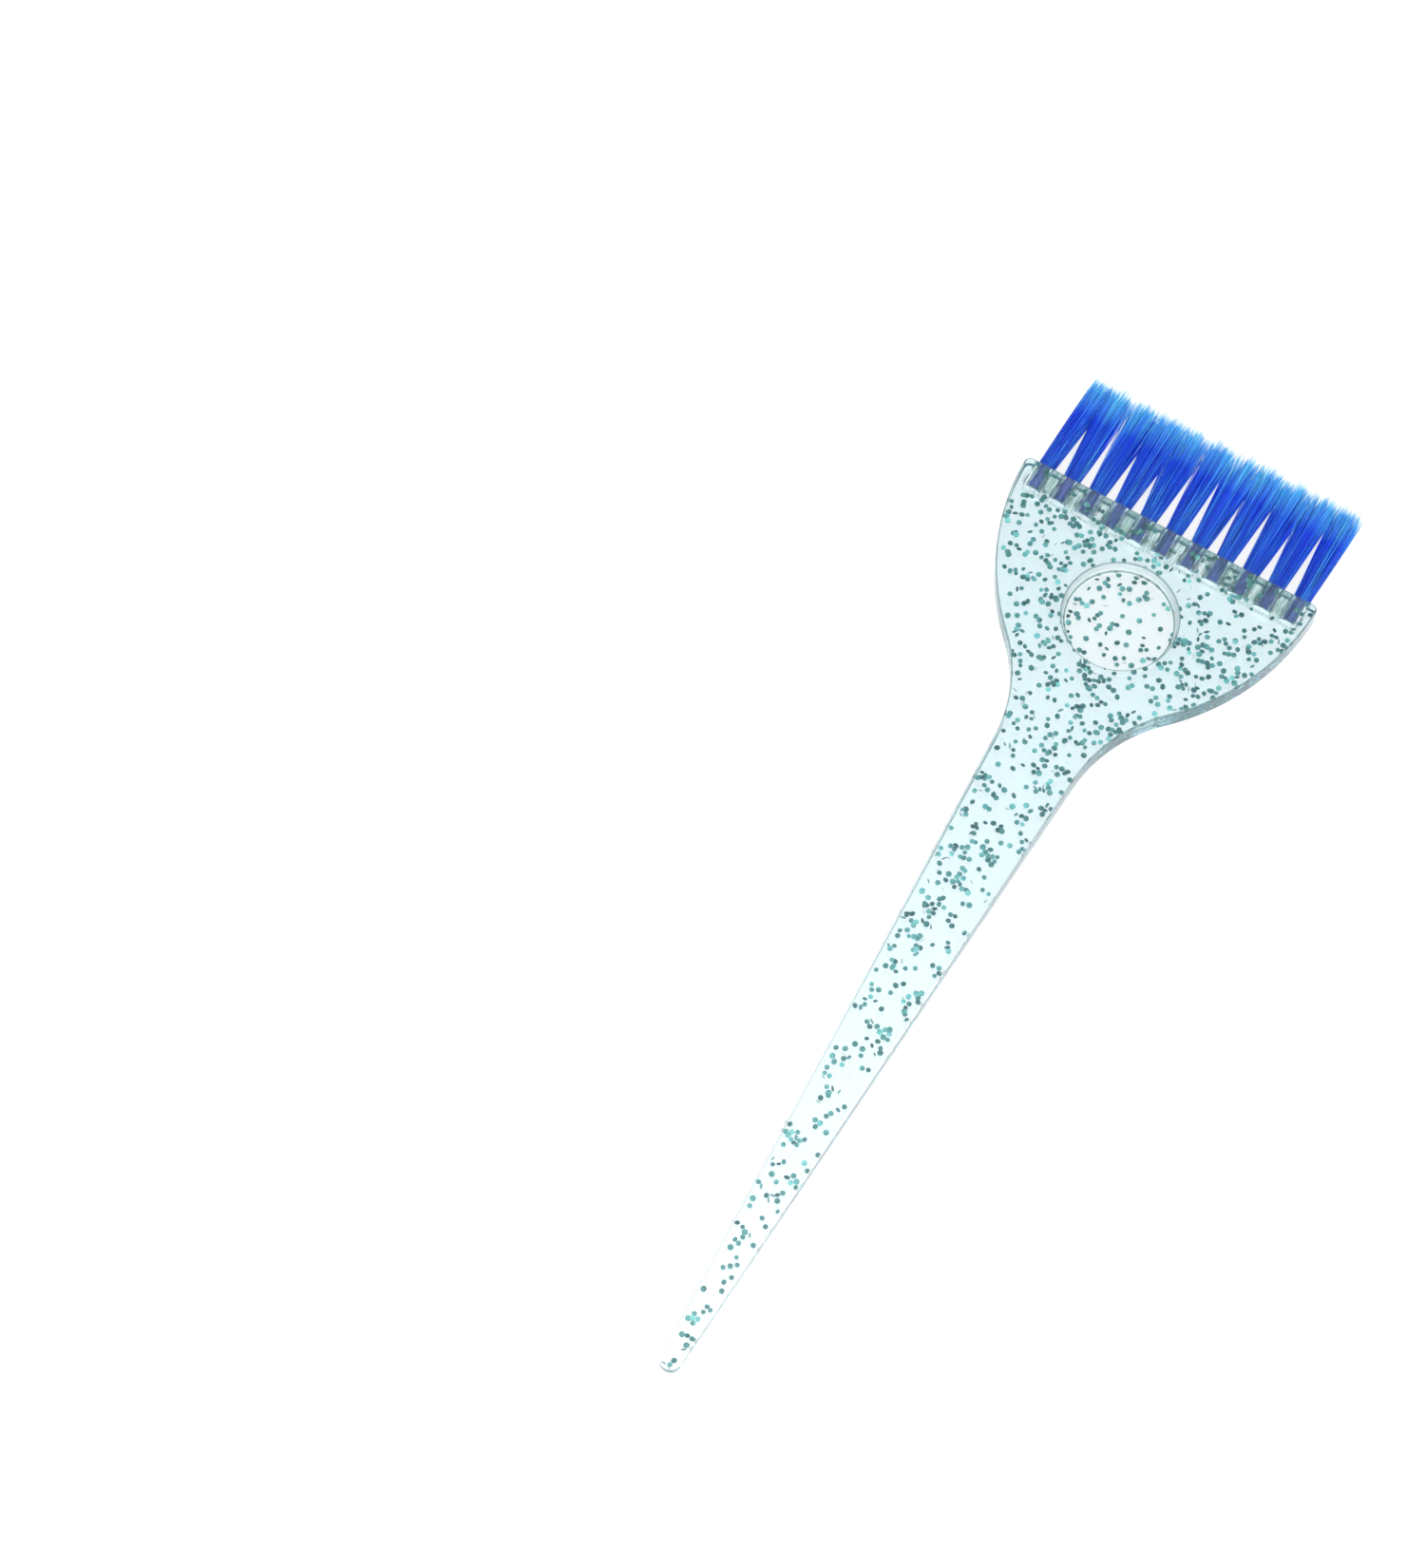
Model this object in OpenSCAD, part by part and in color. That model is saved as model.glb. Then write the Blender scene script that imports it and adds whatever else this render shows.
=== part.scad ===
// Tint brush for hair colour: a flat clear plastic handle moulded in one piece with a fan-shaped head,
// a shallow round thumb recess in the head, and one row of nylon tufts stapled into blind sockets.
// It lies on its flat underside. Y runs from the handle's tip to the bristle tips, Z is up.

/* [Handle] */
// Length of the moulded body, from the handle's tip to the head's front face
body_len = 184.5; // [178:0.5:200]
// Radius of the handle's round tip, seen from above
tip_r = 2.1; // [1.5:0.1:3]
// Thickness at the handle's tip
tip_t = 2.6; // [2:0.1:4]
// Width of the handle where the neck starts to flare
neck_w = 16.8; // [14:0.2:20]
// Distance from the tip to the start of the flare
neck_y = 131.5; // [125:0.5:135]
// Radius of the hollow curve from handle to head
neck_r = 30; // [24:1:36]

/* [Head] */
// Width of the head at its front face
head_w = 61.5; // [60:0.5:70]
// Thickness of the head
head_t = 5.2; // [5:0.1:7]
// Length of the head that has its full thickness
head_flat = 34.5; // [30:0.5:45]
// Radius of the head's two front corners, seen from above
corner_r = 1.5; // [0.5:0.1:3]
// Radius along the head's front edges, top and bottom
front_r = 1.1; // [0.5:0.1:1.6]

/* [Thumb recess] */
// Diameter of the recess at the head's surface
recess_d = 21.8; // [16:0.2:26]
// Depth of the recess
recess_depth = 2.7; // [1:0.1:3.5]
// Distance from the recess's centre to the head's front face
recess_back = 20.3; // [18:0.1:24]
// How much smaller in radius the floor is than the rim
recess_draft = 0.45; // [0.2:0.05:1.5]
// Radius between the wall and the floor
recess_fillet = 0.8; // [0.3:0.1:1.2]

/* [Tufts] */
// Number of tufts in the row
tufts = 11; // [7:2:11]
// Distance from tuft to tuft
pitch = 5.4; // [5.2:0.1:5.6]
// Diameter of each blind socket
socket_d = 3.8; // [3:0.1:4]
// Depth of each blind socket
socket_depth = 5.3; // [4:0.1:7]
// Diameter of a tuft in its socket
tuft_d = 3.4; // [2.4:0.1:3.6]
// Diameter that a tuft spreads to at its free end
tuft_end_d = 4.9; // [3.6:0.1:4.9]
// Length of the bristles in front of the head
bristle_len = 20.5; // [12:0.5:26]

/* [Staples] */
// Width of a staple, which bites into both sides of its socket
staple_w = 4.2; // [4.1:0.1:4.6]
// Length of a staple along the socket
staple_len = 1.6; // [1:0.1:2.5]
// Thickness of a staple
staple_t = 0.35; // [0.2:0.05:0.5]
// Bristle folded behind the staple, at the bottom of the socket
fold_t = 0.8; // [0.6:0.1:1.2]

/* [Hidden] */
$fn = 64;
total_len = body_len + bristle_len;
mid_z = head_t / 2;
front_y = body_len;
recess_y = body_len - recess_back;
socket_floor_y = body_len - socket_depth;
staple_y = socket_floor_y + fold_t;
fit_gap = 0.02;      // between a staple and the solids that hold it
fold_gap = 0.1;      // between a folded tuft and the bottom of its socket
arc_steps = 28;      // flats along each long curve of the outline
corner_steps = 6;    // flats along each small round

// Points on a circle, from angle a0 to angle a1
function arc(c, r, a0, a1, n) =
    [for (i = [0 : n]) let (a = a0 + (a1 - a0) * i / n) [c[0] + r * cos(a), c[1] + r * sin(a)]];

// The straight flank touches the round tip and passes through the neck's corner point
flank_len = norm([neck_w / 2, neck_y - tip_r]);
flank_a = asin((neck_w / 2) / flank_len) - asin(tip_r / flank_len);

// Centre of the hollow neck curve, which continues the flank without a corner
neck_c = [neck_w / 2 + neck_r * cos(flank_a), neck_y - neck_r * sin(flank_a)];

// Radius and centre of the head's bulging side: it touches the neck curve and is widest at the front
side_a = head_w / 2 - neck_c[0];
side_b = front_y - neck_c[1];
side_r = (side_a * side_a + side_b * side_b - neck_r * neck_r) / (2 * (side_a + neck_r));
side_c = [head_w / 2 - side_r, front_y];
join_a = atan2(neck_c[1] - side_c[1], neck_c[0] - side_c[0]);

// One side of the outline, from the tip to the front corner
half_outline = concat(
    arc([0, tip_r], tip_r, -90, -flank_a, corner_steps),
    arc(neck_c, neck_r, 180 - flank_a, 180 + join_a, arc_steps),
    arc(side_c, side_r, join_a, -asin(corner_r / side_r), arc_steps),
    arc([head_w / 2 - corner_r, front_y - corner_r], corner_r, 0, 90, corner_steps));

// Row of tuft places along X
tuft_x = [for (i = [0 : tufts - 1]) (i - (tufts - 1) / 2) * pitch];

function two_digits(i) = i < 10 ? str("0", i) : str(i);

// Outline of handle and head seen from above
module plan() {
    n = len(half_outline);
    polygon(concat(half_outline, [for (i = [n - 1 : -1 : 1]) [-half_outline[i][0], half_outline[i][1]]]));
}

// Side view: flat underside, top rising evenly from the tip to the head
module side_view() {
    polygon(concat([[0, 0]],
        arc([front_y - front_r, front_r], front_r, -90, 0, corner_steps),
        arc([front_y - front_r, head_t - front_r], front_r, 0, 90, corner_steps),
        [[front_y - head_flat, head_t], [0, tip_t]]));
}

module along_y(y) {
    translate([0, y, mid_z]) rotate([-90, 0, 0]) children();
}

// A staple lies flat across its socket; grow gives the room that its neighbours leave for it
module staple_shape(x, grow = 0) {
    translate([x - staple_w / 2 - grow, staple_y - grow, mid_z - staple_t / 2 - grow])
        cube([staple_w + 2 * grow, staple_len + 2 * grow, staple_t + 2 * grow]);
}

module thumb_recess() {
    floor_r = recess_d / 2 - recess_draft;
    translate([0, recess_y, head_t - recess_depth]) rotate_extrude()
        polygon(concat([[0, 0]],
            arc([floor_r - recess_fillet, recess_fillet], recess_fillet, -90, 0, corner_steps),
            [[recess_d / 2, recess_depth], [recess_d / 2, recess_depth + 1], [0, recess_depth + 1]]));
}

module handle_body() {
    color([0.80, 0.93, 0.94, 0.5]) difference() {
        intersection() {
            linear_extrude(height = head_t) plan();
            translate([-head_w / 2, 0, 0]) rotate([90, 0, 90]) linear_extrude(height = head_w) side_view();
        }
        thumb_recess();
        for (x = tuft_x) {
            translate([x, 0, 0]) along_y(socket_floor_y) cylinder(h = socket_depth + 1, d = socket_d);
            staple_shape(x, fit_gap);
        }
    }
}

// A tuft is a round bundle in its socket and a slim cone in front of the head
module tuft(x) {
    color([0.10, 0.33, 0.85]) difference() {
        translate([x, 0, 0]) union() {
            along_y(socket_floor_y + fold_gap) cylinder(h = socket_depth - fold_gap, d = tuft_d);
            along_y(front_y) cylinder(h = bristle_len, d1 = tuft_d, d2 = tuft_end_d);
        }
        staple_shape(x, fit_gap);
    }
}

module staple(x) {
    color([0.72, 0.72, 0.70]) staple_shape(x);
}

// The origin is under the middle of the whole brush
module placed() {
    translate([0, -total_len / 2, 0]) children();
}

placed() handle_body();
for (i = [1 : tufts]) {
    placed() tuft(tuft_x[i - 1]);
    placed() staple(tuft_x[i - 1]);
}
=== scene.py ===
import math
import random
import bpy
from mathutils import Matrix, Vector


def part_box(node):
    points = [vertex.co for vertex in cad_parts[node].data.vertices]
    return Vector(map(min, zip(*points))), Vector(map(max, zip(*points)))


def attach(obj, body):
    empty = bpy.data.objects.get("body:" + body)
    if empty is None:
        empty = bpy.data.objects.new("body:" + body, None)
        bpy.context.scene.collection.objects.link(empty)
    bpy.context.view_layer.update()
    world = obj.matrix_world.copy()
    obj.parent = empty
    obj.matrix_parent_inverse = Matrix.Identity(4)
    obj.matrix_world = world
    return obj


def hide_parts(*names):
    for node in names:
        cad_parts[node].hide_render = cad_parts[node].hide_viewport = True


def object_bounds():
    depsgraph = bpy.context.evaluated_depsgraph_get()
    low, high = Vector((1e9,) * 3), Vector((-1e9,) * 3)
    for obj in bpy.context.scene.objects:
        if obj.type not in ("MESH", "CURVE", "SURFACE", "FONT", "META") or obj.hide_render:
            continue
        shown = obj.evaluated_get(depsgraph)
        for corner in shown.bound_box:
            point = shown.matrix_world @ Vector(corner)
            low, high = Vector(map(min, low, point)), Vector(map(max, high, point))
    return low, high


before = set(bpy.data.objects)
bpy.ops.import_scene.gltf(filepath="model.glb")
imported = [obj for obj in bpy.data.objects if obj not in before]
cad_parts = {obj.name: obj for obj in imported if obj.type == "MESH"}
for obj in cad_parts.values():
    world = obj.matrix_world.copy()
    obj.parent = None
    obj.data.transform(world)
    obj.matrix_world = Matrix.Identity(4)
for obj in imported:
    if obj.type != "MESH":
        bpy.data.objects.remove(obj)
cadLow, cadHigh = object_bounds()

mm = 0.001
tuftNames = sorted(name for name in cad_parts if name.startswith("tuft_"))
stapleNames = sorted(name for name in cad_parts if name.startswith("staple_"))
bodyLow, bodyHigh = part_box("handle_body")
frontY = bodyHigh.y
tipY = bodyLow.y
headTop = bodyHigh.z
midZ = headTop / 2
headHalf = bodyHigh.x
tuftPlaces = [(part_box(name)[0].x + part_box(name)[1].x) / 2 for name in tuftNames]
print("frame loaded,", len(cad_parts), "CAD nodes")


# small helpers for modelling

def deselectAll():
    if bpy.context.mode != "OBJECT":
        bpy.ops.object.mode_set(mode="OBJECT")
    bpy.ops.object.select_all(action="DESELECT")


def activate(piece):
    deselectAll()
    piece.select_set(True)
    bpy.context.view_layer.objects.active = piece


def applyPlace(piece):
    activate(piece)
    bpy.ops.object.transform_apply(location=True, rotation=True, scale=True)


def selectWhere(piece, kind, test):  # kind is VERT, EDGE or FACE; leaves the piece in edit mode
    activate(piece)
    bpy.ops.object.mode_set(mode="EDIT")
    bpy.ops.mesh.select_mode(type=kind)
    bpy.ops.mesh.select_all(action="DESELECT")
    bpy.ops.object.mode_set(mode="OBJECT")
    parts = {"VERT": piece.data.vertices, "EDGE": piece.data.edges, "FACE": piece.data.polygons}[kind]
    for part in parts:
        part.select = test(part)
    bpy.ops.object.mode_set(mode="EDIT")


def applyModifier(piece, kind, **values):
    activate(piece)
    modifier = piece.modifiers.new(kind.title(), kind)
    for key, value in values.items():
        setattr(modifier, key, value)
    bpy.ops.object.modifier_apply(modifier=modifier.name)


def cutWith(piece, cutter):
    applyModifier(piece, "BOOLEAN", object=cutter, operation="DIFFERENCE", solver="EXACT")
    bpy.data.objects.remove(cutter)


def copyOf(piece, name):
    twin = piece.copy()
    twin.data = piece.data.copy()
    twin.name = name
    bpy.context.scene.collection.objects.link(twin)
    return twin


def joinAll(pieces, name):
    activate(pieces[0])
    for piece in pieces:
        piece.select_set(True)
    bpy.ops.object.join()
    joined = bpy.context.active_object
    joined.name = name
    return joined


def finishPiece(piece, slotName, *materials):
    for material in materials:
        if material.name not in piece.data.materials:
            piece.data.materials.append(material)
    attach(piece, "root")


# small helpers for materials

def newMaterial(name):
    material = bpy.data.materials.new(name)
    material.use_nodes = True
    nodes = material.node_tree.nodes
    shader = nodes.get("Principled BSDF") or nodes.new("ShaderNodeBsdfPrincipled")
    return material, material.node_tree, shader


def addNode(tree, kind, **values):
    node = tree.nodes.new(kind)
    for key, value in values.items():
        setattr(node, key, value)
    return node


def stretchedNoise(tree, scale, detail=2.0):  # noise on Object coordinates, with a scale per axis
    place = addNode(tree, "ShaderNodeTexCoord")
    mapping = addNode(tree, "ShaderNodeMapping")
    mapping.inputs["Scale"].default_value = scale
    noise = addNode(tree, "ShaderNodeTexNoise")
    noise.inputs["Scale"].default_value = 1.0
    noise.inputs["Detail"].default_value = detail
    noise.inputs["Roughness"].default_value = 0.5
    tree.links.new(place.outputs["Object"], mapping.inputs["Vector"])
    tree.links.new(mapping.outputs["Vector"], noise.inputs["Vector"])
    return noise.outputs["Fac"]


def mapRange(tree, value, fromMin, fromMax, toMin=0.0, toMax=1.0):
    node = addNode(tree, "ShaderNodeMapRange")
    for key, number in (("From Min", fromMin), ("From Max", fromMax), ("To Min", toMin), ("To Max", toMax)):
        node.inputs[key].default_value = number
    tree.links.new(value, node.inputs["Value"])
    return node.outputs["Result"]


def mixColours(tree, factor, first, second, blend="MIX"):
    node = addNode(tree, "ShaderNodeMix", data_type="RGBA", blend_type=blend)
    for key, value in (("Factor", factor), ("A", first), ("B", second)):
        socket = next(s for s in node.inputs if s.name == key and s.enabled)
        if isinstance(value, bpy.types.NodeSocket):
            tree.links.new(value, socket)
        else:
            socket.default_value = value
    return next(s for s in node.outputs if s.enabled)


def splitPlace(tree):  # the place on the piece as separate X, Y and Z
    place = addNode(tree, "ShaderNodeTexCoord")
    split = addNode(tree, "ShaderNodeSeparateXYZ")
    tree.links.new(place.outputs["Object"], split.inputs["Vector"])
    return split


def addBump(tree, shader, height, distance, under=None):
    bump = addNode(tree, "ShaderNodeBump")
    bump.inputs["Strength"].default_value = 1.0
    bump.inputs["Distance"].default_value = distance
    tree.links.new(height, bump.inputs["Height"])
    if under is not None:
        tree.links.new(under, bump.inputs["Normal"])
    tree.links.new(bump.outputs["Normal"], shader.inputs["Normal"])
    return bump.outputs["Normal"]


# camera, floor and light

cameraSettings = {
    "lookAt": Vector((-48.4, -4.2, 2.0)) * mm,
    "turn": math.radians(30.56),       # the view is turned this much to the left of the brush
    "elevation": math.radians(67.72),
    "distance": 800 * mm,
    "lens": 100.8,
}


def makeCamera(settings):
    data = bpy.data.cameras.new("camera")
    camera = bpy.data.objects.new("camera", data)
    bpy.context.scene.collection.objects.link(camera)
    tilt = math.pi / 2 - settings["elevation"]
    forward = Vector((-math.sin(settings["turn"]) * math.sin(tilt),
                      math.cos(settings["turn"]) * math.sin(tilt), -math.cos(tilt)))
    camera.location = settings["lookAt"] - forward * settings["distance"]
    camera.rotation_euler = (tilt, 0, settings["turn"])
    data.lens = settings["lens"]
    data.clip_start = 0.01
    data.clip_end = 20
    bpy.context.scene.camera = camera


lightSettings = {
    "skyTop": 0.85,        # brightness straight up
    "skyRim": 0.5,         # brightness at the horizon, which draws the grey lines in the clear plastic
    "skyBelow": 0.95,
    "keyFrom": Vector((0.22, -0.40, 0.89)).normalized(),     # a broad soft light from the viewer's side
    "keyPower": 2.5,
    "keyInner": 26,        # degrees from its middle out to which the soft light is full
    "keyOuter": 52,
    "tableHead": 0.78,     # the floor glows a little like a light table, more beside the handle's tip
    "tableTip": 0.94,
    "floorDrop": 0.05 * mm,
    "floorSize": 6,
    "floorColour": (0.25, 0.25, 0.25, 1),
}


def makeLight(settings):
    world = bpy.data.worlds.new("studio")
    world.use_nodes = True
    tree = world.node_tree
    place = addNode(tree, "ShaderNodeTexCoord")
    split = addNode(tree, "ShaderNodeSeparateXYZ")
    ramp = addNode(tree, "ShaderNodeValToRGB")
    tree.links.new(place.outputs["Generated"], split.inputs["Vector"])
    tree.links.new(mapRange(tree, split.outputs["Z"], -1, 1), ramp.inputs["Fac"])
    stops = ((0.0, settings["skyBelow"]), (0.49, settings["skyBelow"]), (0.5, settings["skyRim"]),
             (0.66, settings["skyRim"] * 1.1), (0.8, settings["skyTop"]), (1.0, settings["skyTop"]))
    for i, (position, brightness) in enumerate(stops):
        stop = ramp.color_ramp.elements[i] if i < 2 else ramp.color_ramp.elements.new(position)
        stop.position = position
        stop.color = (brightness, brightness, brightness * 1.01, 1)
    facing = addNode(tree, "ShaderNodeVectorMath", operation="DOT_PRODUCT")
    facing.inputs[1].default_value = settings["keyFrom"]
    tree.links.new(place.outputs["Generated"], facing.inputs[0])
    inner, outer = math.cos(math.radians(settings["keyInner"])), math.cos(math.radians(settings["keyOuter"]))
    key = mapRange(tree, facing.outputs["Value"], outer, inner, 0.0, settings["keyPower"])
    both = mixColours(tree, 1.0, ramp.outputs["Color"], key, "ADD")
    background = tree.nodes.get("Background") or addNode(tree, "ShaderNodeBackground")
    tree.links.new(both, background.inputs["Color"])
    bpy.context.scene.world = world


def makeFloor(settings):
    deselectAll()
    bpy.ops.mesh.primitive_plane_add(size=settings["floorSize"], location=(0, 0, -settings["floorDrop"]))
    floor = bpy.context.active_object
    floor.name = "floor"
    applyPlace(floor)
    material, tree, shader = newMaterial("paleFloor")
    shader.inputs["Base Color"].default_value = settings["floorColour"]
    shader.inputs["Roughness"].default_value = 0.9
    shader.inputs["Specular IOR Level"].default_value = 0.1
    shader.inputs["Emission Color"].default_value = (1, 1, 1, 1)
    split = splitPlace(tree)
    glow = mapRange(tree, split.outputs["Y"], tipY, frontY, settings["tableTip"], settings["tableHead"])
    tree.links.new(glow, shader.inputs["Emission Strength"])
    floor.data.materials.append(material)


makeCamera(cameraSettings)
makeLight(lightSettings)
makeFloor(lightSettings)
bpy.context.scene.view_settings.view_transform = "Standard"
bpy.context.scene.cycles.max_bounces = 32              # light runs a long way inside the clear plastic
bpy.context.scene.cycles.glossy_bounces = 24
bpy.context.scene.cycles.transmission_bounces = 32
print("camera, light and floor made")


# clear body: handle and head in one moulding

bodySettings = {
    "tipRadius": 2.1 * mm,
    "tipThickness": 2.6 * mm,
    "neckWidth": 16.8 * mm,
    "neckStart": 131.5 * mm,     # from the handle's tip
    "neckRadius": 30 * mm,
    "headFlat": 34.5 * mm,       # the length of the head at full thickness
    "cornerRadius": 1.25 * mm,
    "edgeRound": 0.45 * mm,
    "recessBack": 20.3 * mm,
    "recessDepth": 2.7 * mm,
    "recessRim": 10.9 * mm,
    "recessFloor": 10.45 * mm,
    "recessFillet": 0.8 * mm,
    "rimRound": 0.22 * mm,
    "socketRadius": 1.9 * mm,
    "socketDepth": 5.3 * mm,
    "socketFillet": 0.25 * mm,
    "stapleRoom": 0.02 * mm,
    "mergeWithin": 0.06 * mm,    # takes the tiny step before each corner, which would stop the bevel
}
recessY = frontY - bodySettings["recessBack"]
recessFloorZ = headTop - bodySettings["recessDepth"]
socketFloorY = frontY - bodySettings["socketDepth"]


def outlineShape(settings):  # where the outline's arcs meet, from the same few sizes as the CAD
    tipR, neckR = settings["tipRadius"], settings["neckRadius"]
    halfNeck, neckUp = settings["neckWidth"] / 2, settings["neckStart"]
    reach = math.hypot(halfNeck, neckUp - tipR)
    flank = math.asin(halfNeck / reach) - math.asin(tipR / reach)
    neck = Vector((halfNeck + neckR * math.cos(flank), neckUp - neckR * math.sin(flank), 0))
    a, b = headHalf - neck.x, (frontY - tipY) - neck.y
    sideR = (a * a + b * b - neckR * neckR) / (2 * (a + neckR))
    side = Vector((headHalf - sideR, frontY - tipY, 0))
    join = math.atan2(neck.y - side.y, neck.x - side.x)
    return flank, neck, side, sideR, join


flankAngle, neckCentre, sideCentre, sideRadius, joinAngle = outlineShape(bodySettings)


def halfWidthAt(y):  # half the body's width at a place along the brush
    up = y - tipY
    s = bodySettings
    if up < s["tipRadius"]:
        return math.sqrt(max(s["tipRadius"] ** 2 - (s["tipRadius"] - up) ** 2, 0))
    if up < s["neckStart"]:
        return s["neckWidth"] / 2 - (s["neckStart"] - up) * math.tan(flankAngle)
    if up < neckCentre.y + s["neckRadius"] * math.sin(-joinAngle):
        return neckCentre.x - math.sqrt(s["neckRadius"] ** 2 - (up - neckCentre.y) ** 2)
    return sideCentre.x + math.sqrt(sideRadius ** 2 - (sideCentre.y - up) ** 2)


def thicknessAt(y):
    taperEnd = frontY - bodySettings["headFlat"]
    share = min((y - tipY) / (taperEnd - tipY), 1)
    return bodySettings["tipThickness"] + (headTop - bodySettings["tipThickness"]) * share


def makeOutline(settings):  # one vertex is spun and extruded round half the outline, then mirrored and filled
    deselectAll()
    bpy.ops.mesh.primitive_plane_add(size=mm, location=(0, tipY, 0))
    body = bpy.context.active_object
    applyPlace(body)
    bpy.ops.object.mode_set(mode="EDIT")
    bpy.ops.mesh.select_all(action="SELECT")
    bpy.ops.mesh.merge(type="CENTER")
    origin = Vector((0, tipY, 0))
    tip = Vector((0, settings["tipRadius"], 0))
    corner = Vector((headHalf - settings["cornerRadius"], frontY - tipY - settings["cornerRadius"], 0))
    cornerStart = -math.asin(settings["cornerRadius"] / sideRadius)

    def spinTo(centre, angle, steps):
        bpy.ops.mesh.spin(steps=steps, dupli=False, angle=-angle, center=origin + centre, axis=(0, 0, 1))

    spinTo(tip, math.pi / 2 - flankAngle, 12)
    flankEnd = Vector((settings["neckWidth"] / 2, settings["neckStart"], 0))
    flankStart = tip + Vector((math.cos(flankAngle), -math.sin(flankAngle), 0)) * settings["tipRadius"]
    bpy.ops.mesh.extrude_region_move(TRANSFORM_OT_translate={"value": flankEnd - flankStart})
    spinTo(neckCentre, joinAngle + flankAngle, 40)
    spinTo(sideCentre, cornerStart - joinAngle, 56)
    cornerFrom = corner + Vector((settings["cornerRadius"], 0, 0))
    sideEnd = sideCentre + Vector((math.cos(cornerStart), math.sin(cornerStart), 0)) * sideRadius
    bpy.ops.mesh.extrude_region_move(TRANSFORM_OT_translate={"value": cornerFrom - sideEnd})
    spinTo(corner, math.pi / 2, 8)
    bpy.ops.mesh.extrude_region_move(TRANSFORM_OT_translate={"value": Vector((-corner.x, 0, 0))})
    bpy.ops.mesh.select_all(action="SELECT")
    bpy.ops.mesh.duplicate()
    bpy.ops.transform.resize(value=(-1, 1, 1), center_override=(0, 0, 0))
    bpy.ops.mesh.select_all(action="SELECT")
    bpy.ops.mesh.remove_doubles(threshold=settings["mergeWithin"])
    bpy.ops.mesh.edge_face_add()
    return body


def makeRecessCutter(settings):
    cutterTop = 1.0 * mm     # how far the cutter stands above the head
    deselectAll()
    slope = (settings["recessRim"] - settings["recessFloor"]) / settings["recessDepth"]
    height = settings["recessDepth"] + cutterTop
    bpy.ops.mesh.primitive_cone_add(vertices=160, radius1=settings["recessFloor"],
                                    radius2=settings["recessFloor"] + slope * height, depth=height,
                                    location=(0, recessY, recessFloorZ + height / 2))
    cutter = bpy.context.active_object
    applyPlace(cutter)
    low = recessFloorZ + 0.01 * mm
    selectWhere(cutter, "EDGE", lambda e: all(cutter.data.vertices[i].co.z < low for i in e.vertices))
    bpy.ops.mesh.bevel(offset=settings["recessFillet"], segments=6, affect="EDGES")
    bpy.ops.object.mode_set(mode="OBJECT")
    return cutter


def makeSocketCutter(settings):
    overrun = 1.0 * mm
    depth = settings["socketDepth"] + overrun
    cutters = []
    for i, x in enumerate(tuftPlaces):
        deselectAll()
        bpy.ops.mesh.primitive_cylinder_add(vertices=48, radius=settings["socketRadius"], depth=depth,
                                            location=(x, socketFloorY + depth / 2, midZ),
                                            rotation=(math.pi / 2, 0, 0))
        cutter = bpy.context.active_object
        applyPlace(cutter)
        cutters.append(cutter)
    cutter = joinAll(cutters, "socketCutter")
    low = socketFloorY + 0.01 * mm
    selectWhere(cutter, "EDGE", lambda e: all(cutter.data.vertices[i].co.y < low for i in e.vertices))
    bpy.ops.mesh.bevel(offset=settings["socketFillet"], segments=3, affect="EDGES")
    bpy.ops.object.mode_set(mode="OBJECT")
    return cutter


def makeStapleCutter(settings):
    cutters = []
    for name in stapleNames:
        low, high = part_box(name)
        deselectAll()
        bpy.ops.mesh.primitive_cube_add(size=1, location=(low + high) / 2)
        cutter = bpy.context.active_object
        cutter.scale = (high - low) + Vector((1, 1, 1)) * 2 * settings["stapleRoom"]
        applyPlace(cutter)
        cutters.append(cutter)
    return joinAll(cutters, "stapleCutter")


def makeBody(settings):
    body = makeOutline(settings)
    body.name = "clear_body"
    bpy.ops.mesh.extrude_region_move(TRANSFORM_OT_translate={"value": (0, 0, headTop)})
    taperEnd = Vector((0, frontY - settings["headFlat"], headTop))
    rise = taperEnd - Vector((0, tipY, settings["tipThickness"]))
    bpy.ops.mesh.select_all(action="SELECT")
    bpy.ops.mesh.normals_make_consistent(inside=False)
    bpy.ops.mesh.bisect(plane_co=taperEnd, plane_no=(0, -rise.z, rise.y), use_fill=True, clear_outer=True)
    bpy.ops.mesh.select_all(action="SELECT")
    bpy.ops.mesh.remove_doubles(threshold=settings["mergeWithin"])
    bpy.ops.mesh.normals_make_consistent(inside=False)
    bpy.ops.object.mode_set(mode="OBJECT")
    applyModifier(body, "BEVEL", width=settings["edgeRound"], segments=4,
                  limit_method="ANGLE", angle_limit=math.radians(50))
    print("  body outline extruded, tapered and rounded")
    cutWith(body, makeRecessCutter(settings))
    rim = settings["recessRim"]

    def onRim(edge):
        ends = [body.data.vertices[i].co for i in edge.vertices]
        return all(abs(math.hypot(p.x, p.y - recessY) - rim) < 0.05 * mm and p.z > headTop - 0.05 * mm
                   for p in ends)

    selectWhere(body, "EDGE", onRim)
    bpy.ops.mesh.bevel(offset=settings["rimRound"], segments=3, affect="EDGES")
    bpy.ops.object.mode_set(mode="OBJECT")
    cutWith(body, makeSocketCutter(settings))
    cutWith(body, makeStapleCutter(settings))
    print("  recess, sockets and staple pockets cut")
    activate(body)
    bpy.ops.object.shade_smooth_by_angle(angle=math.radians(35))
    applyModifier(body, "WEIGHTED_NORMAL", mode="FACE_AREA", weight=80, keep_sharp=True)
    return body


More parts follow.
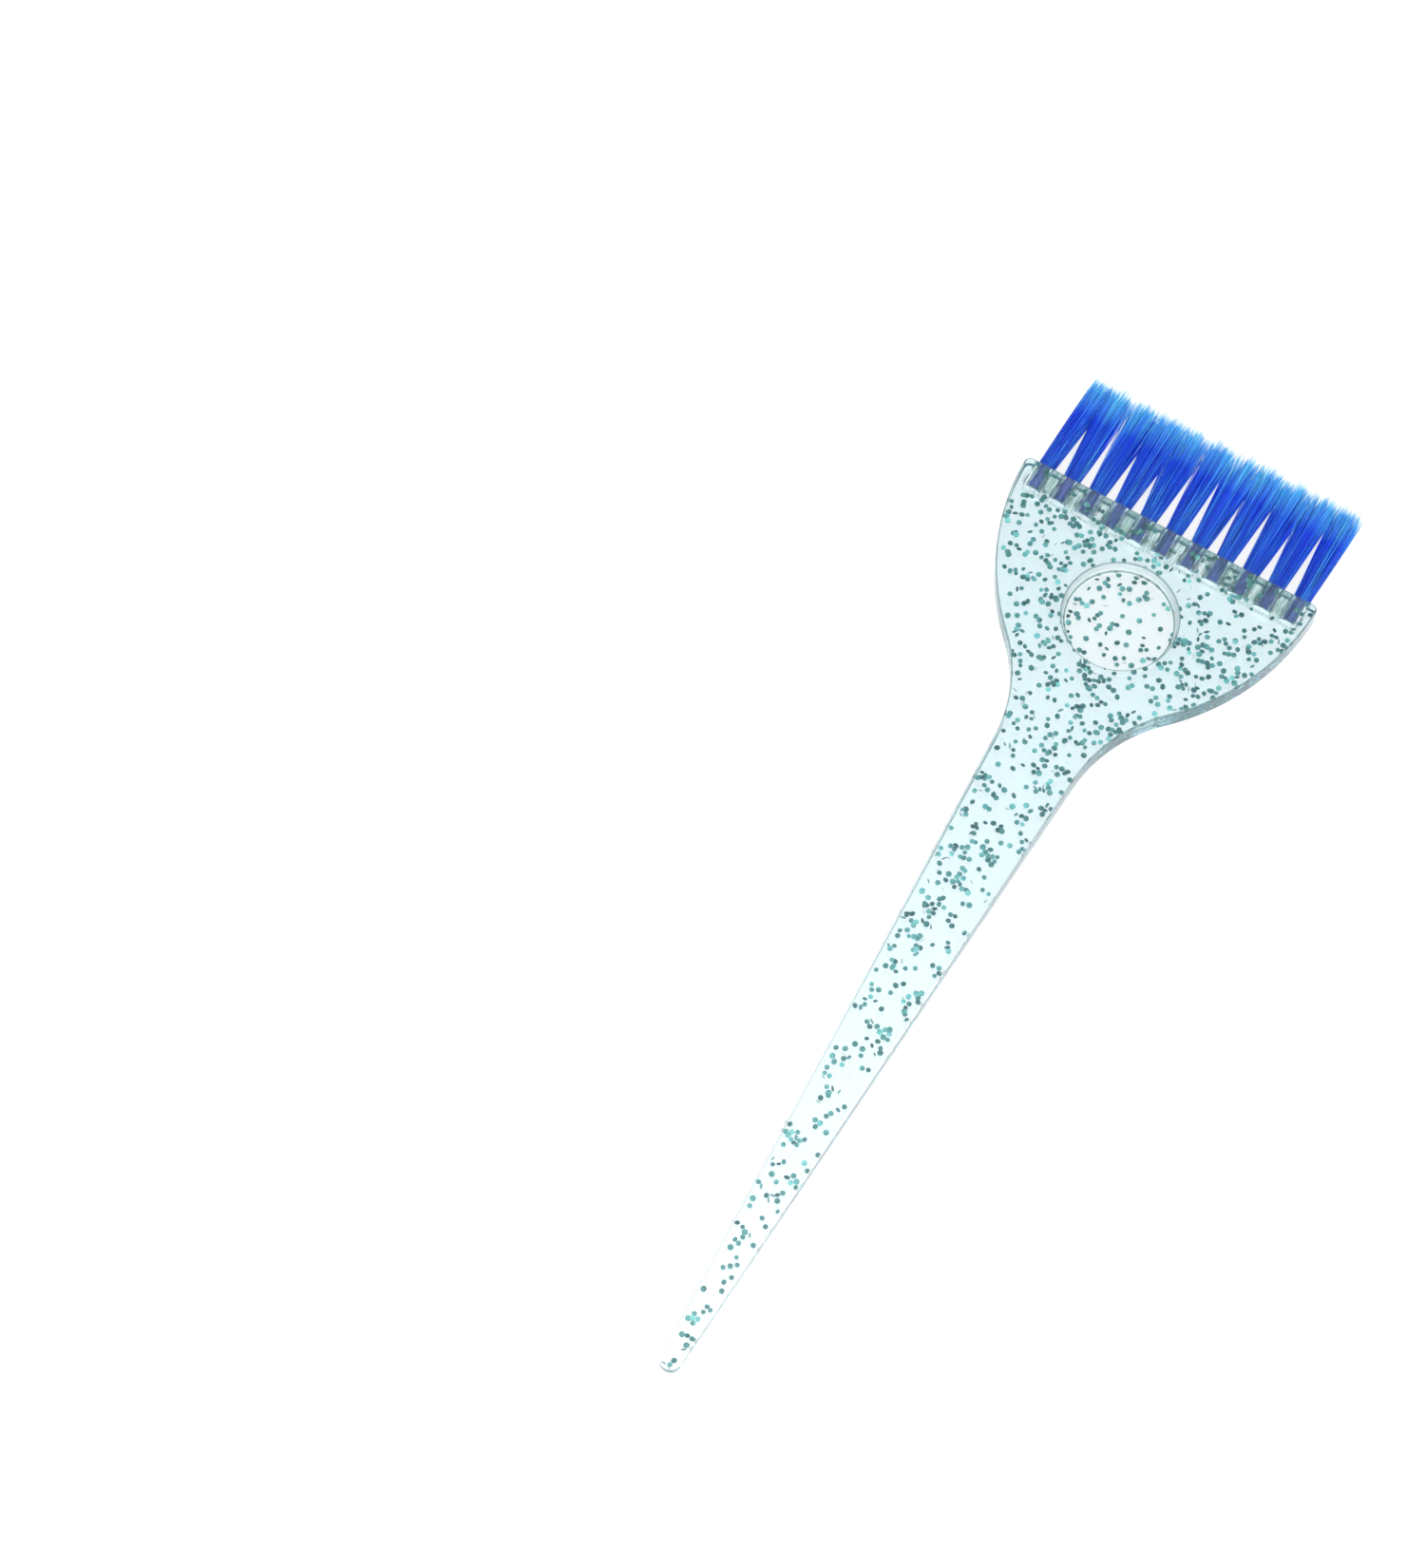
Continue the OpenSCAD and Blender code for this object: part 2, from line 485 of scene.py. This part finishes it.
plasticSettings = {
    "clear": (0.955, 0.967, 0.972, 1),
    "webShade": (0.38, 0.56, 0.50, 1),       # painted shade of the internal reflections, greener and streaked between the sockets
    "wall": (0.89, 0.96, 0.97, 1),
    "core": (0.78, 0.90, 0.94, 1),
    # painted shade: the rounded edges and the recess's rim are darkened where refraction draws dark lines
    "edge": (0.18, 0.29, 0.29, 1),
    "edgeShadeTip": (0.92, 0.90, 0.90, 1),    # the painted edge shade hardly shows along the handle
    "absorb": (0.03, 0.76, 0.90, 1),
    "density": 40.0,
    "ior": 1.57,
    "webBack": 0.5 * mm,         # how far behind the sockets the streaks begin
    "webFade": 0.3 * mm,
    "webBump": 0.035 * mm,
    "edgeFrom": 105 * mm,        # the painted edge shade deepens between these two distances from the front
    "edgeTo": 40 * mm,
    "finishes": (
        # name, colour, roughness, waves of the surface per axis, their depth, how clear it is
        ("clearPlastic", "clear", 0.02, (90, 55, 90), 0.06 * mm, 1.0),
        ("clearWall", "wall", 0.15, (1500, 1500, 60), 0.03 * mm, 0.35),
        ("clearCore", "core", 0.09, (1800, 60, 1800), 0.05 * mm, 0.93),
        # the last finish paints shade on the thin edges
        ("clearEdgeShade", "edge", 0.1, (500, 500, 500), 0.01 * mm, 0.6),
    ),
}


def clearPlastic(name, colour, roughness, waviness, depth, clearness):
    material, tree, shader = newMaterial(name)
    shader.inputs["Base Color"].default_value = plasticSettings[colour]
    shader.inputs["Roughness"].default_value = roughness
    shader.inputs["IOR"].default_value = plasticSettings["ior"]
    shader.inputs["Transmission Weight"].default_value = clearness
    waves = stretchedNoise(tree, waviness, detail=1.0)
    bump = addBump(tree, shader, waves, depth)
    absorb = addNode(tree, "ShaderNodeVolumeAbsorption")
    absorb.inputs["Color"].default_value = plasticSettings["absorb"]
    absorb.inputs["Density"].default_value = plasticSettings["density"]
    tree.links.new(absorb.outputs["Volume"], tree.nodes["Material Output"].inputs["Volume"])
    return material, tree, shader, bump


def addWebShade(tree, shader, bump):  # painted shade of the internal reflections, in streaks beside the sockets that also bump the surface
    split = splitPlace(tree)
    settings = plasticSettings
    back, fade = settings["webBack"], settings["webFade"]
    zone = mapRange(tree, split.outputs["Y"], socketFloorY - back, socketFloorY + fade)
    streaks = mapRange(tree, stretchedNoise(tree, (2600, 220, 2600), detail=2.0), 0.44, 0.56)
    aside = addNode(tree, "ShaderNodeMath", operation="ABSOLUTE")
    tree.links.new(split.outputs["X"], aside.inputs[0])
    outer = tuftPlaces[-1] + bodySettings["socketRadius"]
    inside = mapRange(tree, aside.outputs["Value"], outer + back, outer - fade)
    for part in (zone, inside):
        both = addNode(tree, "ShaderNodeMath", operation="MULTIPLY")
        tree.links.new(streaks, both.inputs[0])
        tree.links.new(part, both.inputs[1])
        streaks = both.outputs["Value"]
    colour = mixColours(tree, streaks, settings["clear"], settings["webShade"])
    tree.links.new(colour, shader.inputs["Base Color"])
    addBump(tree, shader, streaks, settings["webBump"], bump)


def paintEdgeShade(tree, shader):  # painted shade on the edges: it hardly shows along the handle and draws a dark line round the head
    split = splitPlace(tree)
    settings = plasticSettings
    along = mapRange(tree, split.outputs["Y"], frontY - settings["edgeFrom"], frontY - settings["edgeTo"])
    colour = mixColours(tree, along, settings["edgeShadeTip"], settings["edge"])
    tree.links.new(colour, shader.inputs["Base Color"])


def plasticMaterials():
    clear, wall, core, edge = [clearPlastic(*finish) for finish in plasticSettings["finishes"]]
    addWebShade(*clear[1:])
    paintEdgeShade(*edge[1:3])
    return [made[0] for made in (clear, wall, core, edge)]


def markMouldedFaces(body):  # 1 is the recess's wall, 2 the sockets, 3 the thin edges, which get painted shade
    s = bodySettings
    near = 0.05 * mm
    skin = 0.3 * mm        # sockets are looked for this far inside the head's faces
    edgeBand = 0.6 * mm    # and the rounded edges within this much of the outline
    wallBand = 1.1 * mm
    for face in body.data.polygons:
        x, y, z = face.center
        tilt = abs(face.normal.z)
        ring = math.hypot(x, y - recessY) - s["recessRim"]
        inRecess = abs(ring) < wallBand and z > recessFloorZ - near
        inSocket = (socketFloorY - near < y < frontY - 0.01 * mm and skin < z < headTop - skin
                    and min(abs(x - px) for px in tuftPlaces) < s["socketRadius"] + near)
        if inRecess and (0.1 < tilt < 0.98 and z > headTop - s["rimRound"] or 0.55 < tilt < 0.85):
            face.material_index = 3
        elif inRecess and tilt < 0.55:
            face.material_index = 1
        elif inSocket:
            face.material_index = 2
        elif 0.4 < tilt < 0.9 and (abs(x) > halfWidthAt(y) - edgeBand or y > frontY - edgeBand):
            face.material_index = 3


clearBody = makeBody(bodySettings)
markMouldedFaces(clearBody)
finishPiece(clearBody, "clear_plastic", *plasticMaterials())
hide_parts("handle_body")
print("clear body made,", len(clearBody.data.polygons), "faces")


# glitter flakes moulded into the clear plastic

glitterSettings = {
    "radius": 0.57 * mm,
    "thickness": 0.03 * mm,
    "rim": 0.16 * mm,
    # flakes per square metre of the plan, by distance from the tip: sparse at the tip, dense in the head
    "density": ((0, 1.5e5), (25, 2.3e5), (60, 2.1e5), (90, 2.9e5), (140, 3.2e5), (160, 3.7e5), (178, 3.7e5),
                (180, 2.6e5), (185, 2.6e5)),
    "margin": 0.75 * mm,      # kept free inside the surface
    "apart": 0.85 * mm,       # flakes outside the clumps keep this far apart in the plan
    "clump": 0.36,            # share of flakes that lie beside the one before
    "clumpApart": 0.6,        # and how much closer than the others these may lie
    "reach": (0.85 * mm, 1.1 * mm),
    "skin": 0.18 * mm,        # kept free on both sides in the thin walls over and under a socket
    "edgeOn": 0.12,           # share of flakes that stand on edge
    "edgeLean": (60, 88),     # degrees
    "lean": 24,
    "size": (0.78, 1.1),
    "face": ((0.15, 0.47, 0.455, 1), (0.05, 0.25, 0.245, 1), 0.3),      # light, dark and roughness
    # the rim's colours are painted shade, darker than the flake's middle
    "rimShade": ((0.01, 0.085, 0.09, 1), (0.008, 0.035, 0.04, 1), 0.45),
    "metallic": 0.45,
    "seed": 11,
}


def makeFlake(settings):
    deselectAll()
    bpy.ops.mesh.primitive_circle_add(vertices=6, radius=settings["radius"], fill_type="NGON",
                                      location=(0, 0, -settings["thickness"] / 2))
    flake = bpy.context.active_object
    applyPlace(flake)
    bpy.ops.object.mode_set(mode="EDIT")
    bpy.ops.mesh.select_all(action="SELECT")
    bpy.ops.mesh.extrude_region_move(TRANSFORM_OT_translate={"value": (0, 0, settings["thickness"])})
    bpy.ops.mesh.select_all(action="SELECT")
    bpy.ops.mesh.normals_make_consistent(inside=False)
    selectWhere(flake, "FACE", lambda f: abs(f.normal.z) > 0.9)
    bpy.ops.mesh.inset(thickness=settings["rim"], depth=0, use_individual=True)
    bpy.ops.object.mode_set(mode="OBJECT")
    for face in flake.data.polygons:      # 0 is the bright middle and 1 the rim, darkened with painted shade
        face.material_index = 0 if len(face.vertices) == 6 else 1
    return flake


def tableValue(table, x):
    for (x0, y0), (x1, y1) in zip(table, table[1:]):
        if x <= x1:
            return y0 + (y1 - y0) * (x - x0) / (x1 - x0)
    return table[-1][1]


def freeHeights(x, y, margin, above):  # the stretch of height a flake may take, or None
    if not tipY + margin < y < frontY - margin or abs(x) > halfWidthAt(y) - margin:
        return None
    low, high = margin, thicknessAt(y) - margin
    if math.hypot(x, y - recessY) < bodySettings["recessRim"] + margin:
        high = recessFloorZ - margin
    if y > socketFloorY - margin and min(abs(x - px) for px in tuftPlaces) < bodySettings["socketRadius"]:
        wall = midZ - bodySettings["socketRadius"]     # only in the thin wall over or under a socket
        skin = glitterSettings["skin"]
        low, high = (skin, wall - skin) if above < 0.5 else (headTop - wall + skin, headTop - skin)
    return (low, high) if high > low else None


def flakePlaces(settings):
    dice = random.Random(settings["seed"])
    step = 1.0 * mm
    places = []
    y = tipY
    while y < frontY:
        wanted = tableValue(settings["density"], (y - tipY) / mm) * 2 * halfWidthAt(y + step / 2) * step
        for _ in range(int(wanted) + (dice.random() < wanted % 1)):
            clumped = places and dice.random() < settings["clump"]
            for _ in range(30):
                if clumped:
                    near = dice.choice(places[-6:])
                    turn = dice.uniform(0, 2 * math.pi)
                    reach = dice.uniform(*settings["reach"])
                    x, yNow = near.x + reach * math.cos(turn), near.y + reach * math.sin(turn)
                else:
                    x, yNow = dice.uniform(-1, 1) * halfWidthAt(y + step / 2), y + dice.random() * step
                apart = settings["apart"] * (settings["clumpApart"] if clumped else 1)
                crowded = any(math.hypot(x - p.x, yNow - p.y) < apart for p in places[-150:])
                heights = freeHeights(x, yNow, settings["margin"], dice.random())
                if heights and not crowded:
                    places.append(Vector((x, yNow, dice.uniform(*heights))))
                    break
        y += step
    return places, dice


def thinOut(places):  # under the recess the plastic is half as thick, so a third of its flakes go
    rim = bodySettings["recessRim"]
    return [place for i, place in enumerate(places) if i % 3 or math.hypot(place.x, place.y - recessY) > rim]


def makeGlitter(settings):
    flake = makeFlake(settings)
    places, dice = flakePlaces(settings)
    places = thinOut(places)
    flakes = []
    for place in places:
        twin = copyOf(flake, "flake")
        edgeOn = dice.random() < settings["edgeOn"]
        lean = math.radians(dice.uniform(*settings["edgeLean"]) if edgeOn
                            else abs(dice.gauss(0, settings["lean"])))
        turn = Matrix.Rotation(dice.uniform(0, 2 * math.pi), 4, "Z") @ Matrix.Rotation(lean, 4, "X")
        size = dice.uniform(*settings["size"])
        room = min(place.z, thicknessAt(place.y) - place.z) - 0.1 * mm
        size = min(size, room / (settings["radius"] * max(math.sin(lean), 0.1)))
        twin.data.transform(Matrix.Translation(place) @ turn @ Matrix.Scale(size, 4))
        flakes.append(twin)
    bpy.data.objects.remove(flake)
    return joinAll(flakes, "glitter_flakes")


def glitterMaterial(name, light, dark, roughness):
    material, tree, shader = newMaterial(name)
    patches = stretchedNoise(tree, (700, 700, 700), detail=0.0)
    speck = mapRange(tree, patches, 0.35, 0.65)
    tree.links.new(mixColours(tree, speck, dark, light), shader.inputs["Base Color"])
    shader.inputs["Metallic"].default_value = glitterSettings["metallic"]
    shader.inputs["Roughness"].default_value = roughness
    return material


glitter = makeGlitter(glitterSettings)
glitter.data.materials.clear()
finishPiece(glitter, "teal_glitter",
            glitterMaterial("glitterFace", *glitterSettings["face"]),
            glitterMaterial("glitterRimShade", *glitterSettings["rimShade"]))
print("glitter made,", len(glitter.data.polygons), "faces")


# bristle tufts

bristleSettings = {
    "count": 200,
    "radius": 0.095 * mm,
    "sides": 5,
    "bundle": 1.58 * mm,          # radius of the bundle in its socket, to the middle of the outer filaments
    "spreadZ": 2.15 * mm,         # half thickness that the bundle spreads to at the tips
    # how far the left and right edge of each tuft lean outwards by the tips
    "flare": ((-0.9, 2.1), (1.5, 1.3), (1.4, 1.8), (1.6, 2.0), (1.9, 1.35), (1.3, 1.35), (1.3, 2.0),
              (1.6, 1.5), (1.4, 1.7), (1.5, 1.6), (1.5, 0.8)),
    "jitter": 0.17 * mm,
    "strays": 0.05,               # share of filaments that stand out of line
    "wild": 3.5,                  # and how many times further they do so than the others
    "droop": 0.15 * mm,
    "bow": 0.1 * mm,
    "longest": 1.2 * mm,          # the longest filaments stand this far past the trimmed length
    "ragged": 1.05 * mm,
    "locks": 9,                   # the filaments of a tuft cling together in locks towards the tips
    "lockLean": 0.26 * mm,
    "lockLength": 0.4 * mm,
    "taper": {7: 0.72, 8: 0.22},        # how much the last two of the eight stations shrink
    "shadeMix": (0, 0, 1, 1, 1, 2, 2),  # dark, plain and light filaments
    "seed": 5,
}
freeLength = cadHigh.y - frontY
stapleLow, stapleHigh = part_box(stapleNames[0])


def makeFilament(settings):  # one straight filament of unit stations along Y, bent later copy by copy
    deselectAll()
    bpy.ops.mesh.primitive_circle_add(vertices=settings["sides"], radius=settings["radius"],
                                      fill_type="NGON", rotation=(-math.pi / 2, 0, 0))
    filament = bpy.context.active_object
    applyPlace(filament)
    bpy.ops.object.mode_set(mode="EDIT")
    bpy.ops.mesh.select_all(action="SELECT")
    for station in range(1, 9):
        bpy.ops.mesh.extrude_region_move(TRANSFORM_OT_translate={"value": (0, 1, 0)})
        shrink = settings["taper"].get(station)
        if shrink:
            bpy.ops.transform.resize(value=(shrink, 1, shrink), center_override=(0, 0, 0))
    bpy.ops.mesh.select_all(action="SELECT")
    bpy.ops.mesh.normals_make_consistent(inside=False)
    bpy.ops.object.mode_set(mode="OBJECT")
    bpy.ops.object.shade_smooth()
    return filament


def filamentLine(settings, dice, x, i, flare, droop, locks):  # the middle line of one filament, by station
    share = math.sqrt((i + 0.5) / settings["count"])
    angle = i * math.pi * (3 - math.sqrt(5))
    u, w = share * math.cos(angle), share * math.sin(angle)
    side = 1 if w >= 0 else -1
    hold = (stapleHigh.z - stapleLow.z) / 2 + settings["radius"] * 1.3
    across = (u + 1) * 0.5 + w * 0.18 + dice.gauss(0, 0.03)
    lockLean, lockLift, lockLength = locks[int(across * len(locks)) % len(locks)]
    short = min(abs(dice.gauss(0, 1)), 2.5) * settings["ragged"]
    length = freeLength + settings["longest"] - short + lockLength
    wild = settings["jitter"] * (settings["wild"] if dice.random() < settings["strays"] else 1)
    startX, startZ = u * settings["bundle"], w * settings["bundle"]
    spread = (flare[1] * (1 + u) - flare[0] * (1 - u)) / 2 * mm
    leanX = spread + dice.gauss(0, 1) * wild + lockLean
    leanZ = w * (settings["spreadZ"] - settings["bundle"]) + droop + lockLift + dice.gauss(0, 0.7) * wild
    bow = dice.gauss(0, 1) * settings["bow"]
    besideStaple = side * max(abs(startZ), hold)
    line = [
        Vector((x + startX, socketFloorY + 0.15 * mm, midZ + side * hold * 0.5)),
        Vector((x + startX, stapleLow.y, midZ + besideStaple * 0.8 + side * hold * 0.2)),
        Vector((x + startX, stapleHigh.y, midZ + besideStaple)),
        Vector((x + startX, frontY, midZ + startZ)),
    ]
    for part in (0.25, 0.5, 0.75, 0.9, 1.0):
        line.append(Vector((x + startX + leanX * part + bow * math.sin(part * math.pi),
                            frontY + length * part, midZ + startZ + leanZ * part)))
    return line


def bendFilament(filament, line, shade):
    twin = copyOf(filament, "filament")
    twin.data.materials.append(bristleShades[shade])
    for vertex in twin.data.vertices:
        station = line[round(vertex.co.y)]
        vertex.co = Vector((station.x + vertex.co.x, station.y, station.z + vertex.co.z))
    return twin


def makeTuft(settings, filament, number, x):
    dice = random.Random(settings["seed"] * 100 + number)
    flare = settings["flare"][number - 1]
    droop = dice.uniform(-1, 1) * settings["droop"]
    locks = [(dice.gauss(0, 1) * settings["lockLean"], dice.gauss(0, 0.7) * settings["lockLean"],
              min(dice.gauss(0, 1), 1) * settings["lockLength"]) for _ in range(settings["locks"])]
    strands = [bendFilament(filament, filamentLine(settings, dice, x, i, flare, droop, locks),
                            dice.choice(settings["shadeMix"])) for i in range(settings["count"])]
    return joinAll(strands, "bristles_%02d" % number)


bristleColours = {
    "stops": (0.48, 0.52, 0.82),      # where the root colours and the middle lie on the ramp
    # painted light: the filaments inside the sockets are lighter, for the haze the clear plastic scatters
    # over them
    "socket": (0.05, 0.26, 0.88, 1),
    "root": (0.010, 0.115, 0.52, 1),
    "middle": (0.002, 0.092, 0.72, 1),
    # painted light: the tips are azure where light comes through the filaments' ends
    "tip": (0.14, 0.76, 1.0, 1),
    "shades": ((0.55, 0.55, 0.86, 1), (0.8, 0.82, 0.98, 1), (1, 1, 1, 1)),
    "darken": (0.7, 0.62, 0.93, 1),   # fine streaks darker and lighter than the rest: the filaments' own uneven tone with painted shade between them and painted highlights
    "lighten": (0.10, 0.48, 1.0, 1),
    "lightenBy": 0.32,
    "roughness": 0.38,
    "glow": 0.8,                      # nylon lets some light through
}


def bristleMaterial(colours, name, shade):
    material, tree, shader = newMaterial(name)
    split = splitPlace(tree)
    along = mapRange(tree, split.outputs["Y"], frontY - freeLength, frontY + freeLength)
    ramp = addNode(tree, "ShaderNodeValToRGB")
    socketEnd, *later = colours["stops"]
    ramp.color_ramp.elements[0].position = socketEnd
    ramp.color_ramp.elements[0].color = colours["socket"]
    ramp.color_ramp.elements[1].color = colours["tip"]
    for position, part in zip(later, ("root", "middle")):
        ramp.color_ramp.elements.new(position).color = colours[part]
    tree.links.new(along, ramp.inputs["Fac"])
    fine = mapRange(tree, stretchedNoise(tree, (3000, 40, 3000), detail=1.0), 0.4, 0.6)
    broad = mapRange(tree, stretchedNoise(tree, (900, 22, 900), detail=1.0), 0.42, 0.58)
    # the streaks mix the filaments' own uneven tone with painted shade between filaments and painted
    # highlights
    dark = mixColours(tree, 1.0, ramp.outputs["Color"], colours["darken"], "MULTIPLY")
    light = mixColours(tree, colours["lightenBy"], ramp.outputs["Color"], colours["lighten"])
    streaked = mixColours(tree, broad, dark, mixColours(tree, fine, dark, light))
    tree.links.new(mixColours(tree, 1.0, streaked, shade, "MULTIPLY"), shader.inputs["Base Color"])
    shader.inputs["Roughness"].default_value = colours["roughness"]
    shader.inputs["IOR"].default_value = 1.53
    shader.inputs["Specular IOR Level"].default_value = 0.3
    shader.inputs["Subsurface Weight"].default_value = colours["glow"]
    shader.inputs["Subsurface Radius"].default_value = (0.2, 0.5, 1.0)
    shader.inputs["Subsurface Scale"].default_value = 0.5 * mm
    return material


filament = makeFilament(bristleSettings)
bristleShades = [bristleMaterial(bristleColours, "bristle" + name, shade)
                 for name, shade in zip(("Deep", "Blue", "Light"), bristleColours["shades"])]
for number, (name, x) in enumerate(zip(tuftNames, tuftPlaces), 1):
    tuft = makeTuft(bristleSettings, filament, number, x)
    finishPiece(tuft, "blue_bristle", *bristleShades)
    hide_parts(name)
bpy.data.objects.remove(filament)
print("tufts made")


# staples keep their CAD shape and get a drawn metal finish

def stapleMetal():
    material, tree, shader = newMaterial("stapleMetal")
    grain = stretchedNoise(tree, (300, 6000, 6000), detail=3.0)
    colour = mixColours(tree, grain, (0.45, 0.44, 0.42, 1), (0.72, 0.71, 0.68, 1))
    tree.links.new(colour, shader.inputs["Base Color"])
    shader.inputs["Metallic"].default_value = 1.0
    tree.links.new(mapRange(tree, grain, 0, 1, 0.25, 0.5), shader.inputs["Roughness"])
    addBump(tree, shader, grain, 0.01 * mm)
    return material


staple = stapleMetal()
for name in stapleNames:
    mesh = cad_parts[name].data
    mesh.materials.clear()
    mesh.materials.append(staple)
print("staples finished")
